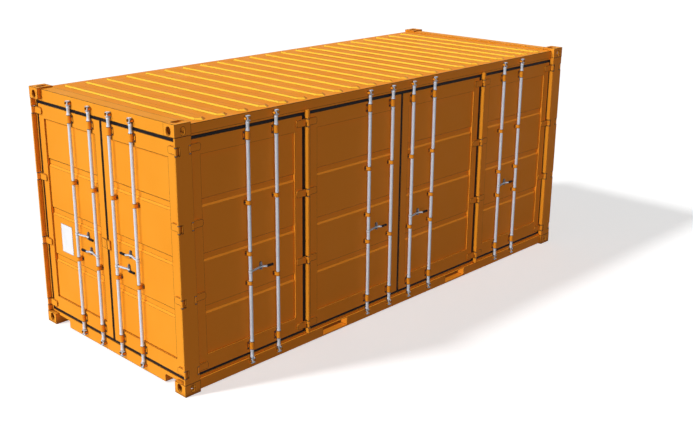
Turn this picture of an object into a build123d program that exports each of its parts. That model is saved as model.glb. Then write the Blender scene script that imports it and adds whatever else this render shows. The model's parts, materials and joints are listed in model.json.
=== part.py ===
from build123d import *
import os

# A 20 foot shipping container, 8 foot 6 high, with doors at both ends and
# four folding door leaves along one side. Sizes are in millimetres.
# +X runs along the length, the folding side faces -Y, +Z is up, and the
# origin is on the ground under the middle of the container.
LENGTH = 6058
WIDTH = 2438
HEIGHT = 2591

# Corner castings: apertures are placed from the casting's outer corner and
# from its outer horizontal face
CASTING_LENGTH = 178
CASTING_WIDTH = 162
CASTING_HEIGHT = 118
CASTING_PLATE = 28
CASTING_FLOOR = 9
CASTING_SIDE = 18
CASTING_BACK = 12
APERTURE_TALL = 79
SIDE_APERTURE = 51
END_APERTURE = 63.5
APERTURE_IN = 89
APERTURE_UP = 69
LIFT_HOLE_LONG = 124
LIFT_HOLE_WIDE = 63.5
LIFT_FROM_END = 102.5
LIFT_FROM_SIDE = 89.5

# Corner posts: a rounded bar at the outer corner carries the end hinges, and
# a step beside it is level with the door leaves
POST_BAR = 24
POST_FRAME = 48
POST_ROUND = 6
POST_BACK = 105
POST_INNER = 100

# Frame: the roof and the headers hang from the top, the sills stand on the
# underside
UNDERSIDE = 14
SILL_TOP = 138
HEADER_DROP = 16
HEADER_HEIGHT = 125
HEADER_SHELF = 35
ROOF_DROP = 31
FRAME_DEPTH = 100
SILL_STEP = 207
SILL_NOTCH_TOP = 94
SILL_CORNER = 20
SIDE_HEADER_DEPTH = 80
HEADER_LIP = 3
HEADER_LIP_HEIGHT = 20

# Bottom rails, floor and fork pockets
RAIL_FACE = 22
RAIL_LEDGE = 115
RAIL_BACK = 110
WALL_RAIL_FACE = 16
WALL_RAIL_THICK = 48
FLOOR_TOP = 158
FLOOR_THICK = 28
FLOOR_SHEETS = 5
FLOOR_JOINT = 3
POCKET_X = 1025
POCKET_WIDTH = 360
POCKET_BOTTOM = 26
POCKET_TOP = 113
POCKET_PLATE = 6
POCKET_STRAP = 200
BEAM_FLANGE = 45
BEAM_WEB = 5
BEAM_PITCH = 300
BEAMS_INSIDE = 5
BEAMS_OUTSIDE = 5

# Roof sheet and its ribs, whose ends are pointed, and the corrugated wall
ROOF_SHEET = 4
ROOF_RIBS = 22
ROOF_RIB_FIRST = 205
ROOF_RIB_BASE = 61.5
ROOF_RIB_CREST = 41.5
ROOF_RIB_HEIGHT = 15
ROOF_RIB_IN = 79
ROOF_RIB_POINT = 58
ROOF_CREST_IN = 32
ROOF_CREST_POINT = 42
WALL_SHEET = 3
WALL_CREST_DEPTH = 22
WALL_WAVE = 34
WALL_WAVES = 20
WALL_FLAT_SHARE = 0.26
TOP_RAIL_THICK = 60
TOP_RAIL_HEIGHT = 100

# Door leaves: depths are measured inward from the plane of the castings
DOOR_FACE = 45
DOOR_THICK = 50
DOOR_GAP = 30
STILE = 97
BOTTOM_RAIL = 154
TOP_RAIL = 150
PANEL_RECESS = 15
PANEL_SHEET = 4
TROUGH_DEPTH = 14
TROUGH_HEIGHT = 84
TROUGH_SHARES = [0.2515, 0.5175, 0.7865]
TROUGH_UPPER_RUN = 8
TROUGH_LOWER_RUN = 22
CENTRE_HALF = 16
CENTRE_GAP = 6.5
GASKET_FACE = 49
GASKET_THICK = 26
GASKET_GAP = 5.5
POST_GAP = 28
BAR_GAP = 54

# Hinges: the blade runs from its pin over the gap and onto the leaf
HINGES = 4
HINGE_UP = 55
HINGE_DOWN = 74
PIN_DEPTH = 13
PIN_RADIUS = 7
PIN_CLEARANCE = 0.3
PIN_GRIP = 18
KNUCKLE_RADIUS = 12
BLADE_HEIGHT = 70
BLADE_THICK = 14
BLADE_LENGTH = 137
BLADE_ROOT = 16
BLADE_CORNER = 20
CRANK_BACK = 6
NOTCH_HALF = 40
NOTCH_DEPTH = 50
NOTCH_SIDE = 29
COLLAR_GAP = 0.5
BAR_HALF = 12
BAR_BELOW = 17
BAR_ABOVE = 24
BAR_WEB_HALF = 10
BAR_NOTCH_DEPTH = 46

# Lock rods, counted from the middle of each face, and what holds them
ROD_RADIUS = 17
ROD_DEPTH = 23
ROD_CLEARANCE = 0.5
ROD_INNER = 153
ROD_SPACING = 357
ROD_FROM_BAR = 410
ROD_FAR_FROM_BAR = 764
BEARING_DOWN = 66
BEARING_UP = 76
BEARING_HEIGHT = 80
BEARING_FOOT = 44
GUIDE_SHARES = [0.683, 0.3237]
GUIDE_EXTRA_SHARE = 0.4574
GUIDE_HEIGHT = 44
GUIDE_FOOT = 34
FOOT_THICK = 6
BEARING_WALL = 4
COLLAR_RADIUS = 21
COLLAR_HEIGHT = 22
NECK_RADIUS = 16
BELL_RADIUS = 19
BELL_AT = 15
BELL_LENGTH = 35

# Cams: two lips, long towards the handle's side, with a neck between them
# that turns between two ears
CAM_DROP = 54
CAM_BOTTOM = 55
CAM_HEIGHT = 50
CAM_LIP = 8
CAM_REACH = 28
CAM_SHORT = 17
CAM_FRONT = 21
CAM_BACK = 16
CAM_NECK = 11
CAM_ROOM = 5
KEEPER_HALF = 21
KEEPER_THICK = 8
KEEPER_HEIGHT = 24
KEEPER_FRONT = 4
KEEPER_ROUND = 7

# Handles: the bar bends back to its catch on the panel, and the grip stands
# off again. Each pair is a distance from the rod and a depth behind its axis
HANDLE_LINE = [(0, 0), (45, 2), (110, 17), (155, 23), (190, 13), (216, 0)]
HANDLE_LOW_SHARE = 0.3761
HANDLE_HIGH_SHARE = 0.4432
HANDLE_TALL = 18
HANDLE_THICK = 8
GRIP_LENGTH = 75
GRIP_RADIUS = 12
GRIP_ROUND = 7
HUB_RADIUS = 20
HUB_HEIGHT = 26
CATCH_AT = 159
CATCH_WIDE = 28
CATCH_PRONG = 16
CATCH_PLATE = 4
CATCH_FRONT = 41
CATCH_GAP = 15
CATCH_LOW = 27
CATCH_HIGH = 42
KNOB_RADIUS = 7
KNOB_TALL = 10

# Plates on the end doors
PLATE_FROM_EDGE = 247
PLATE_WIDE = 210
PLATE_UP = 62
PLATE_TALL = 310
PLATE_THICK = 3
HASP_LEFT = 100
HASP_BOX_LEFT = 36
HASP_RIGHT = 50
HASP_SHARE = 0.4307
HASP_TALL = 95
HASP_THIN = 6
HASP_THICK = 14
HASP_SPLIT = 3

# Sizes worked out from the ones above
END_HALF = WIDTH / 2
SIDE_HALF = LENGTH / 2
CASTING_X = SIDE_HALF - CASTING_LENGTH
CASTING_Y = END_HALF - CASTING_WIDTH
CASTING_LOW = HEIGHT - CASTING_HEIGHT
HEADER_TOP = HEIGHT - HEADER_DROP
HEADER_BOTTOM = HEADER_TOP - HEADER_HEIGHT
ROOF_LEVEL = HEIGHT - ROOF_DROP
RAIL_TOP = ROOF_LEVEL - ROOF_SHEET
SILL_HALF = CASTING_Y - SILL_STEP
END_POST = END_HALF - POST_FRAME
END_LEAF = END_POST - POST_GAP
SIDE_LEAF = CASTING_X - POST_GAP
BAR_X = CASTING_X / 2
DOOR_BOTTOM = SILL_TOP + DOOR_GAP
DOOR_TOP = HEADER_BOTTOM - DOOR_GAP
DOOR_HEIGHT = DOOR_TOP - DOOR_BOTTOM
PANEL_BOTTOM = DOOR_BOTTOM + BOTTOM_RAIL
PANEL_TOP = DOOR_TOP - TOP_RAIL
PANEL_FACE = DOOR_FACE + PANEL_RECESS
DOOR_BACK = DOOR_FACE + DOOR_THICK
TROUGH_TOPS = [PANEL_BOTTOM + share * (PANEL_TOP - PANEL_BOTTOM) for share in TROUGH_SHARES]
FLOOR_UNDER = FLOOR_TOP - FLOOR_THICK
FLOOR_END = SIDE_HALF - DOOR_FACE - FRAME_DEPTH
RAIL_INNER_Y = -(END_HALF - RAIL_BACK)
WALL_INNER_Y = END_HALF - WALL_RAIL_FACE - WALL_RAIL_THICK
ROOF_RIB_TIP = END_HALF - ROOF_RIB_IN
HINGE_PITCH = (DOOR_HEIGHT - HINGE_UP - HINGE_DOWN) / (HINGES - 1)
HINGE_HEIGHTS = [DOOR_BOTTOM + HINGE_UP + index * HINGE_PITCH for index in range(HINGES)]
BORE_RADIUS = PIN_RADIUS + PIN_CLEARANCE
END_PIN = END_HALF - PIN_DEPTH
SIDE_PIN = CASTING_X + PIN_DEPTH
BAR_BOTTOM = SILL_TOP - BAR_BELOW
BAR_TOP = HEADER_BOTTOM + BAR_ABOVE
POST_RUBBER = POST_GAP - GASKET_GAP
BAR_RUBBER = BAR_GAP - BAR_WEB_HALF - GASKET_GAP
CENTRE_RUBBER = CENTRE_HALF - CENTRE_GAP / 2
INNER_ROD = CENTRE_HALF + ROD_INNER
END_RODS = [INNER_ROD + ROD_SPACING, INNER_ROD]
SIDE_RODS = [BAR_X + ROD_FAR_FROM_BAR, BAR_X + ROD_FROM_BAR] + END_RODS
BEARING_TOP = DOOR_TOP - BEARING_DOWN
BEARING_BOTTOM = DOOR_BOTTOM + BEARING_UP
BEARING_RADIUS = ROD_RADIUS + ROD_CLEARANCE + BEARING_WALL
GUIDE_HEIGHTS = [DOOR_BOTTOM + share * DOOR_HEIGHT for share in GUIDE_SHARES]
GUIDE_EXTRA = DOOR_BOTTOM + GUIDE_EXTRA_SHARE * DOOR_HEIGHT
CAM_TOP = HEIGHT - CAM_DROP
HANDLE_LOW = DOOR_BOTTOM + HANDLE_LOW_SHARE * DOOR_HEIGHT
HANDLE_HIGH = DOOR_BOTTOM + HANDLE_HIGH_SHARE * DOOR_HEIGHT
PLATE_BOTTOM = TROUGH_TOPS[0] + PLATE_UP
HASP_BOTTOM = DOOR_BOTTOM + HASP_SHARE * DOOR_HEIGHT

# Each door face is modelled as seen from outside, with u to the right, the
# depth inward and z up, and is then turned and moved to its place.
SIDE = Pos(0, -END_HALF, 0)
NEAR_END = Pos(-SIDE_HALF, 0, 0) * Rot(0, 0, -90)
FAR_END = Pos(SIDE_HALF, 0, 0) * Rot(0, 0, 90)


def block(u0, u1, d0, d1, z0, z1):
    """A box between two values on each axis."""
    centre = Pos((u0 + u1) / 2, (d0 + d1) / 2, (z0 + z1) / 2)
    return centre * Box(abs(u1 - u0), abs(d1 - d0), abs(z1 - z0))


def round_bar(u, d, z0, z1, radius):
    """An upright cylinder between two heights."""
    return Pos(u, d, (z0 + z1) / 2) * Cylinder(radius, z1 - z0)


def upright(points, z0, z1):
    """A prism over a plan outline."""
    outline = Pos(0, 0, z0) * make_face(Polyline(*points, close=True))
    return extrude(outline, amount=z1 - z0, dir=(0, 0, 1))


def along_u(points, u0, u1):
    """A prism with a section of depths and heights, run along u."""
    corners = [(u0, d, z) for d, z in points]
    outline = make_face(Polyline(*corners, close=True))
    return extrude(outline, amount=u1 - u0, dir=(1, 0, 0))


def signed(values):
    """Each value with a minus sign, then each with a plus sign."""
    return [-value for value in values] + [value for value in reversed(values)]


def mirrored_corners(shape):
    """The shape at the near door-side corner, repeated at all four."""
    across = mirror(shape, about=Plane.XZ)
    return [shape, across, mirror(shape, about=Plane.YZ), mirror(across, about=Plane.YZ)]


def placed(frame, shapes):
    """The shapes of one face, moved to its place on the container."""
    return [frame * shape for shape in shapes]


def write(name, shapes):
    """One node: its solids, written as parts/NAME.step."""
    solids = []
    for shape in shapes:
        solids.extend(shape.solids())
    node = solids[0] if len(solids) == 1 else Compound(children=solids)
    node.label = name
    export_step(node, os.path.join("parts", name + ".step"))


def slot_prism(length, width, height):
    """A prism with round ends, its length along X and its height along Z."""
    return extrude(SlotOverall(length, width), amount=height / 2, both=True)


def corner_casting(top):
    """A hollow block with one aperture on each of its three outer faces."""
    x0 = -SIDE_HALF
    y0 = -END_HALF
    z0 = CASTING_LOW if top else 0
    body = block(x0, x0 + CASTING_LENGTH, y0, y0 + CASTING_WIDTH, z0, z0 + CASTING_HEIGHT)
    low = z0 + (CASTING_FLOOR if top else CASTING_PLATE)
    high = z0 + CASTING_HEIGHT - (CASTING_PLATE if top else CASTING_FLOOR)
    x1 = x0 + CASTING_LENGTH - CASTING_BACK
    y1 = y0 + CASTING_WIDTH - CASTING_BACK
    cavity = block(x0 + CASTING_SIDE, x1, y0 + CASTING_SIDE, y1, low, high)
    outer_z = z0 + CASTING_HEIGHT if top else z0
    middle_z = outer_z - APERTURE_UP if top else outer_z + APERTURE_UP
    side_hole = Rot(90, 0, 0) * Rot(0, 0, 90) * slot_prism(APERTURE_TALL, SIDE_APERTURE, 2 * CASTING_SIDE)
    end_hole = Rot(0, 90, 0) * slot_prism(APERTURE_TALL, END_APERTURE, 2 * CASTING_SIDE)
    lift_hole = slot_prism(LIFT_HOLE_LONG, LIFT_HOLE_WIDE, 2 * CASTING_PLATE)
    return body - [
        cavity,
        Pos(x0 + APERTURE_IN, y0, middle_z) * side_hole,
        Pos(x0, y0 + APERTURE_IN, middle_z) * end_hole,
        Pos(x0 + LIFT_FROM_END, y0 + LIFT_FROM_SIDE, outer_z) * lift_hole,
    ]


def hinge_notch(pin_x, pin_y, x0, x1, y0, y1):
    """What a corner bar loses at one line of hinges: notches and pin bores."""
    cuts = []
    for height in HINGE_HEIGHTS:
        cuts.append(block(x0, x1, y0, y1, height - NOTCH_HALF, height + NOTCH_HALF))
        reach = NOTCH_HALF + PIN_GRIP + 1
        cuts.append(round_bar(pin_x, pin_y, height - reach, height + reach, BORE_RADIUS))
    return cuts


def corner_post(with_side_hinges):
    """An L section whose outer edges are rounded and notched at the hinges."""
    x0 = -SIDE_HALF
    y0 = -END_HALF
    points = [
        (x0, y0),
        (x0 + CASTING_LENGTH, y0),
        (x0 + CASTING_LENGTH, y0 + POST_INNER),
        (x0 + POST_BACK, y0 + POST_INNER),
        (x0 + POST_BACK, y0 + POST_FRAME),
        (x0 + DOOR_FACE, y0 + POST_FRAME),
        (x0 + DOOR_FACE, y0 + POST_BAR),
        (x0, y0 + POST_BAR),
    ]
    post = upright(points, CASTING_HEIGHT, CASTING_LOW)
    outer = post.edges().filter_by(Axis.Z).filter_by(
        lambda e: e.center().X < x0 + 1 or e.center().Y < y0 + 1
    )
    post = fillet(outer, POST_ROUND)
    across = y0 + POST_FRAME + 1
    cuts = hinge_notch(-SIDE_HALF + PIN_DEPTH, -END_PIN, x0 - 1, x0 + NOTCH_DEPTH, y0 - 1, across)
    if with_side_hinges:
        inner = x0 + CASTING_LENGTH
        cuts += hinge_notch(-SIDE_PIN, -END_PIN, inner - NOTCH_SIDE, inner + 1, y0 - 1, y0 + NOTCH_DEPTH)
    return post - cuts


def corner_posts():
    """The door-side posts carry two lines of hinges, the wall-side ones one."""
    door_side = corner_post(True)
    wall_side = mirror(corner_post(False), about=Plane.XZ)
    return [door_side, mirror(door_side, about=Plane.YZ), wall_side, mirror(wall_side, about=Plane.YZ)]


def end_header():
    """The beam over the end doors, with a shelf that reaches the roof sheet."""
    back = DOOR_FACE + FRAME_DEPTH
    beam = block(-CASTING_Y, CASTING_Y, DOOR_FACE, back, HEADER_BOTTOM, HEADER_TOP)
    beam += block(-END_POST, END_POST, DOOR_FACE, POST_BACK, HEADER_BOTTOM, CASTING_LOW)
    shelf_low = HEADER_TOP - HEADER_SHELF
    return beam + block(-CASTING_Y, CASTING_Y, back, CASTING_LENGTH, shelf_low, HEADER_TOP)


def end_sill():
    """The beam under the end doors, cut away beside the bottom castings."""
    back = DOOR_FACE + FRAME_DEPTH
    beam = block(-CASTING_Y, CASTING_Y, DOOR_FACE, back, SILL_NOTCH_TOP, SILL_TOP)
    beam += block(-END_POST, END_POST, DOOR_FACE, POST_BACK, CASTING_HEIGHT, SILL_TOP)
    beam += block(-SILL_HALF, SILL_HALF, DOOR_FACE, back, UNDERSIDE, SILL_NOTCH_TOP)
    inner = beam.edges().filter_by(Axis.Y).filter_by(
        lambda e: abs(abs(e.center().X) - SILL_HALF) < 1 and abs(e.center().Z - SILL_NOTCH_TOP) < 1
    )
    return fillet(inner, SILL_CORNER)


def side_header():
    """The beam over the folding doors, with a shallow lip along its bottom."""
    back = DOOR_FACE + SIDE_HEADER_DEPTH
    lip_top = HEADER_BOTTOM + HEADER_LIP_HEIGHT
    section = [
        (DOOR_FACE + HEADER_LIP, HEADER_BOTTOM),
        (DOOR_FACE + HEADER_LIP, lip_top),
        (DOOR_FACE, lip_top),
        (DOOR_FACE, RAIL_TOP),
        (back, RAIL_TOP),
        (back, HEADER_BOTTOM),
    ]
    return SIDE * along_u(section, -CASTING_X, CASTING_X)


def wall_top_rail():
    """The square tube over the corrugated wall."""
    y1 = END_HALF - WALL_RAIL_FACE
    return block(-CASTING_X, CASTING_X, y1 - TOP_RAIL_THICK, y1, RAIL_TOP - TOP_RAIL_HEIGHT, RAIL_TOP)


def door_side_rail():
    """The sill of the folding side, with fork pockets and room for the cams."""
    section = [
        (RAIL_FACE, UNDERSIDE),
        (RAIL_FACE, RAIL_LEDGE),
        (DOOR_FACE, RAIL_LEDGE),
        (DOOR_FACE, SILL_TOP),
        (RAIL_BACK, SILL_TOP),
        (RAIL_BACK, UNDERSIDE),
    ]
    cuts = []
    half = POCKET_WIDTH / 2
    for middle in (-POCKET_X, POCKET_X):
        cuts.append(block(middle - half, middle + half, 0, RAIL_BACK + 1, POCKET_BOTTOM, POCKET_TOP))
    room = CAM_REACH + CAM_ROOM
    for middle in signed(SIDE_RODS):
        cuts.append(block(middle - room, middle + room, 0, DOOR_FACE, CAM_BOTTOM - CAM_ROOM, RAIL_LEDGE + 1))
    return SIDE * (along_u(section, -CASTING_X, CASTING_X) - cuts)


def wall_side_rail():
    """The channel under the corrugated wall, with the same fork pockets."""
    y1 = END_HALF - WALL_RAIL_FACE
    rail = block(-CASTING_X, CASTING_X, WALL_INNER_Y, y1, UNDERSIDE, FLOOR_TOP)
    half = POCKET_WIDTH / 2
    for middle in (-POCKET_X, POCKET_X):
        rail -= block(middle - half, middle + half, WALL_INNER_Y - 1, y1 + 1, POCKET_BOTTOM, POCKET_TOP)
    return rail


def rib_outline(middle, z, half, shoulder, tip):
    """A long hexagon across the roof at one height."""
    points = [
        (middle + half, -shoulder, z),
        (middle + half, shoulder, z),
        (middle, tip, z),
        (middle - half, shoulder, z),
        (middle - half, -shoulder, z),
        (middle, -tip, z),
    ]
    return make_face(Polyline(*points, close=True))


def roof_rib(middle, foot_z, crest_z):
    """One pressed rib across the roof, narrower and shorter at its crest."""
    shoulder = ROOF_RIB_TIP - ROOF_RIB_POINT
    crest_tip = ROOF_RIB_TIP - ROOF_CREST_IN
    foot = rib_outline(middle, foot_z, ROOF_RIB_BASE, shoulder, ROOF_RIB_TIP)
    crest = rib_outline(middle, crest_z, ROOF_RIB_CREST, crest_tip - ROOF_CREST_POINT, crest_tip)
    return loft([foot, crest])


def roof_panel():
    """A thin sheet whose ribs are hollow underneath."""
    first = -(CASTING_X - ROOF_RIB_FIRST)
    pitch = -2 * first / (ROOF_RIBS - 1)
    middles = [first + index * pitch for index in range(ROOF_RIBS)]
    sheet = block(-CASTING_X, CASTING_X, -(END_HALF - DOOR_FACE), END_HALF - WALL_RAIL_FACE, 0, ROOF_SHEET)
    ribs = [roof_rib(middle, ROOF_SHEET, ROOF_SHEET + ROOF_RIB_HEIGHT) for middle in middles]
    hollows = [roof_rib(middle, -1, ROOF_RIB_HEIGHT) for middle in middles]
    return Pos(0, 0, RAIL_TOP) * (sheet + ribs - hollows)


def side_wall():
    """The corrugated sheet of the closed side."""
    pitch = 2 * CASTING_X / WALL_WAVES
    outer = END_HALF - WALL_CREST_DEPTH
    inner = outer - WALL_WAVE
    flat = WALL_FLAT_SHARE * pitch
    line = []
    for index in range(WALL_WAVES):
        start = -CASTING_X + index * pitch
        line.append((start, outer))
        line.append((start + flat, outer))
        line.append((start + pitch / 2, inner))
        line.append((start + pitch / 2 + flat, inner))
    line.append((CASTING_X, outer))
    back = [(x, y - WALL_SHEET) for x, y in reversed(line)]
    return upright(line + back, FLOOR_TOP, RAIL_TOP - TOP_RAIL_HEIGHT)


def floor_boards():
    """The plywood sheets of the floor, with narrow joints between them."""
    span = 2 * FLOOR_END / FLOOR_SHEETS
    sheets = []
    for index in range(FLOOR_SHEETS):
        start = -FLOOR_END + index * span
        left = start + (FLOOR_JOINT / 2 if index > 0 else 0)
        right = start + span - (FLOOR_JOINT / 2 if index < FLOOR_SHEETS - 1 else 0)
        sheets.append(block(left, right, RAIL_INNER_Y, WALL_INNER_Y, FLOOR_UNDER, FLOOR_TOP))
    post_y = END_HALF - POST_INNER
    post = block(CASTING_X, SIDE_HALF, post_y, END_HALF, FLOOR_UNDER - 1, FLOOR_TOP + 1)
    sheets[-1] = sheets[-1] - post
    sheets[0] = sheets[0] - mirror(post, about=Plane.YZ)
    return sheets


def cross_beam(x):
    """A channel under the floor, its back towards the middle of the length."""
    inward = -1 if x > 0 else 1
    tip = x - inward * BEAM_FLANGE
    web = x - inward * BEAM_WEB
    beam = block(x, tip, RAIL_INNER_Y, WALL_INNER_Y, UNDERSIDE, FLOOR_UNDER)
    hollow = block(web, tip - inward, RAIL_INNER_Y - 1, WALL_INNER_Y + 1,
                   UNDERSIDE + BEAM_WEB, FLOOR_UNDER - BEAM_WEB)
    return beam - hollow


def cross_members():
    """Channels between the fork pockets and outside them."""
    beams = []
    for index in range(BEAMS_INSIDE):
        beams.append(cross_beam((index - (BEAMS_INSIDE - 1) / 2) * BEAM_PITCH))
    first = POCKET_X + POCKET_WIDTH / 2 + POCKET_PLATE + BEAM_FLANGE
    pitch = (FLOOR_END - first) / BEAMS_OUTSIDE
    for index in range(BEAMS_OUTSIDE):
        beams.append(cross_beam(first + index * pitch))
        beams.append(cross_beam(-first - index * pitch))
    return beams


def fork_pocket(middle):
    """A tunnel from rail to rail, closed below by a strap near each rail."""
    half = POCKET_WIDTH / 2
    y0 = RAIL_INNER_Y
    y1 = WALL_INNER_Y
    outside = half + POCKET_PLATE
    low = POCKET_BOTTOM - POCKET_PLATE
    tunnel = block(middle - outside, middle + outside, y0, y1, low, POCKET_TOP + POCKET_PLATE)
    tunnel -= block(middle - half, middle + half, y0 - 1, y1 + 1, POCKET_BOTTOM, POCKET_TOP)
    open_part = block(middle - half, middle + half, y0 + POCKET_STRAP, y1 - POCKET_STRAP, low - 1, POCKET_TOP)
    return tunnel - open_part


def panel_section():
    """The sheet of a door leaf from bottom to top: flats and three troughs."""
    deep = PANEL_FACE + TROUGH_DEPTH
    line = [(PANEL_FACE, PANEL_BOTTOM)]
    for top in TROUGH_TOPS:
        bottom = top - TROUGH_HEIGHT
        line.append((PANEL_FACE, bottom))
        line.append((deep, bottom + TROUGH_LOWER_RUN))
        line.append((deep, top - TROUGH_UPPER_RUN))
        line.append((PANEL_FACE, top))
    line.append((PANEL_FACE, PANEL_TOP))
    back = [(d + PANEL_SHEET, z) for d, z in reversed(line)]
    return line + back


def door_leaf(u0, u1):
    """A tube frame with its troughed sheet."""
    frame = block(u0, u1, DOOR_FACE, DOOR_BACK, DOOR_BOTTOM, DOOR_TOP)
    frame -= block(u0 + STILE, u1 - STILE, DOOR_FACE - 1, DOOR_BACK + 1, PANEL_BOTTOM, PANEL_TOP)
    return frame + along_u(panel_section(), u0 + STILE, u1 - STILE)


def gasket(u0, u1, left, right):
    """The rubber frame round a leaf, left and right wide at its two edges."""
    back = GASKET_FACE + GASKET_THICK
    high = HEADER_BOTTOM - GASKET_GAP
    low = SILL_TOP + GASKET_GAP
    ring = block(u0 - left, u1 + right, GASKET_FACE, back, low, high)
    return ring - block(u0, u1, GASKET_FACE - 1, back + 1, DOOR_BOTTOM, DOOR_TOP)


def end_leaf_edges(side):
    """The left and right edges of an end leaf, and its gasket's two widths."""
    if side < 0:
        return -END_LEAF, -CENTRE_HALF, POST_RUBBER, CENTRE_RUBBER
    return CENTRE_HALF, END_LEAF, CENTRE_RUBBER, POST_RUBBER


def hinge_blade(pin_u, side, z0, z1, height):
    """One D-shaped blade on the leaf's face, cranked out to its knuckle."""
    low = height - BLADE_HEIGHT / 2
    high = height + BLADE_HEIGHT / 2
    face = DOOR_FACE - BLADE_THICK
    plate = block(BLADE_ROOT, BLADE_LENGTH, face, DOOR_FACE, low, high)
    tips = plate.edges().filter_by(Axis.Y).sort_by(Axis.X)[-2:]
    plate = fillet(tips, BLADE_CORNER)
    crank = [
        (-CRANK_BACK, PIN_DEPTH),
        (KNUCKLE_RADIUS - 1, PIN_DEPTH),
        (BLADE_ROOT + 1, face),
        (BLADE_ROOT + 1, DOOR_FACE),
        (0, DOOR_FACE),
    ]
    arm = upright(crank, height + z0, height + z1)
    knuckle = round_bar(0, PIN_DEPTH, height + z0, height + z1, KNUCKLE_RADIUS)
    bore = round_bar(0, PIN_DEPTH, low - 1, high + 1, BORE_RADIUS)
    blade = plate + arm + knuckle - bore
    if side < 0:
        blade = mirror(blade, about=Plane.YZ)
    return Pos(pin_u, 0, 0) * blade


def post_blades(pin_u):
    """The blades of one leaf at its corner post, reaching towards the middle."""
    side = -1 if pin_u > 0 else 1
    half = BLADE_HEIGHT / 2
    return [hinge_blade(pin_u, side, -half, half, z) for z in HINGE_HEIGHTS]


def bar_blades(pin_u):
    """The two rows of blades at a hinge bar, one knuckle over the other."""
    half = BLADE_HEIGHT / 2
    blades = []
    for z in HINGE_HEIGHTS:
        blades.append(hinge_blade(pin_u, -1, COLLAR_GAP / 2, half, z))
        blades.append(hinge_blade(pin_u, 1, -half, -COLLAR_GAP / 2, z))
    return blades


def hinge_bar(middle):
    """The rounded bar between two folding leaves, notched at the hinges."""
    bar = block(middle - BAR_HALF, middle + BAR_HALF, 0, DOOR_FACE, BAR_BOTTOM, BAR_TOP)
    front = bar.edges().filter_by(Axis.Z).sort_by(Axis.Y)[:2]
    bar = fillet(front, POST_ROUND)
    web_back = GASKET_FACE + GASKET_THICK
    web = block(middle - BAR_WEB_HALF, middle + BAR_WEB_HALF, DOOR_FACE, web_back,
                SILL_TOP + GASKET_GAP, HEADER_BOTTOM - GASKET_GAP)
    cuts = hinge_notch(middle, PIN_DEPTH, middle - BAR_HALF - 1, middle + BAR_HALF + 1, -1, BAR_NOTCH_DEPTH)
    return bar + web - cuts


def hinge_pins(pin_u):
    """The pins of one hinge line, each with two collars that fill the notch."""
    pins = []
    for z in HINGE_HEIGHTS:
        reach = NOTCH_HALF + PIN_GRIP
        collar = BLADE_HEIGHT / 2 + COLLAR_GAP
        pin = round_bar(pin_u, PIN_DEPTH, z - reach, z + reach, PIN_RADIUS)
        pin += round_bar(pin_u, PIN_DEPTH, z + collar, z + NOTCH_HALF, KNUCKLE_RADIUS)
        pin += round_bar(pin_u, PIN_DEPTH, z - NOTCH_HALF, z - collar, KNUCKLE_RADIUS)
        pins.append(pin)
    return pins


def rod_holder(u, z, height, foot, seat):
    """A saddle round a lock rod, with a foot on the leaf behind it."""
    low = z - height / 2
    high = z + height / 2
    holder = block(u - BEARING_RADIUS, u + BEARING_RADIUS, ROD_DEPTH, seat, low, high)
    holder += round_bar(u, ROD_DEPTH, low, high, BEARING_RADIUS)
    holder += block(u - foot, u + foot, seat - FOOT_THICK, seat, low, high)
    return holder - round_bar(u, ROD_DEPTH, low - 1, high + 1, ROD_RADIUS + ROD_CLEARANCE)


def rod_holders(u, extra):
    """The two bearings and the guides of one lock rod."""
    holders = []
    for z in (BEARING_BOTTOM, BEARING_TOP):
        holders.append(rod_holder(u, z, BEARING_HEIGHT, BEARING_FOOT, DOOR_FACE))
    heights = GUIDE_HEIGHTS + ([GUIDE_EXTRA] if extra else [])
    for z in heights:
        holders.append(rod_holder(u, z, GUIDE_HEIGHT, GUIDE_FOOT, PANEL_FACE))
    return holders


def handle_catch(u, side, z):
    """The fork on the panel that a handle's bar lies in, with its knob."""
    middle = u + side * CATCH_AT
    left = middle - CATCH_PRONG / 2
    right = middle + CATCH_PRONG / 2
    plate_face = PANEL_FACE - CATCH_PLATE
    catch = block(middle - CATCH_WIDE / 2, middle + CATCH_WIDE / 2, plate_face, PANEL_FACE,
                  z - CATCH_LOW, z + CATCH_HIGH)
    catch += block(left, right, CATCH_FRONT, plate_face, z + CATCH_GAP, z + CATCH_HIGH)
    catch += block(left, right, CATCH_FRONT, plate_face, z - CATCH_LOW, z - CATCH_GAP)
    knob_depth = (CATCH_FRONT + plate_face) / 2
    return catch + round_bar(middle, knob_depth, z + CATCH_HIGH, z + CATCH_HIGH + KNOB_TALL, KNOB_RADIUS)


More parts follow.
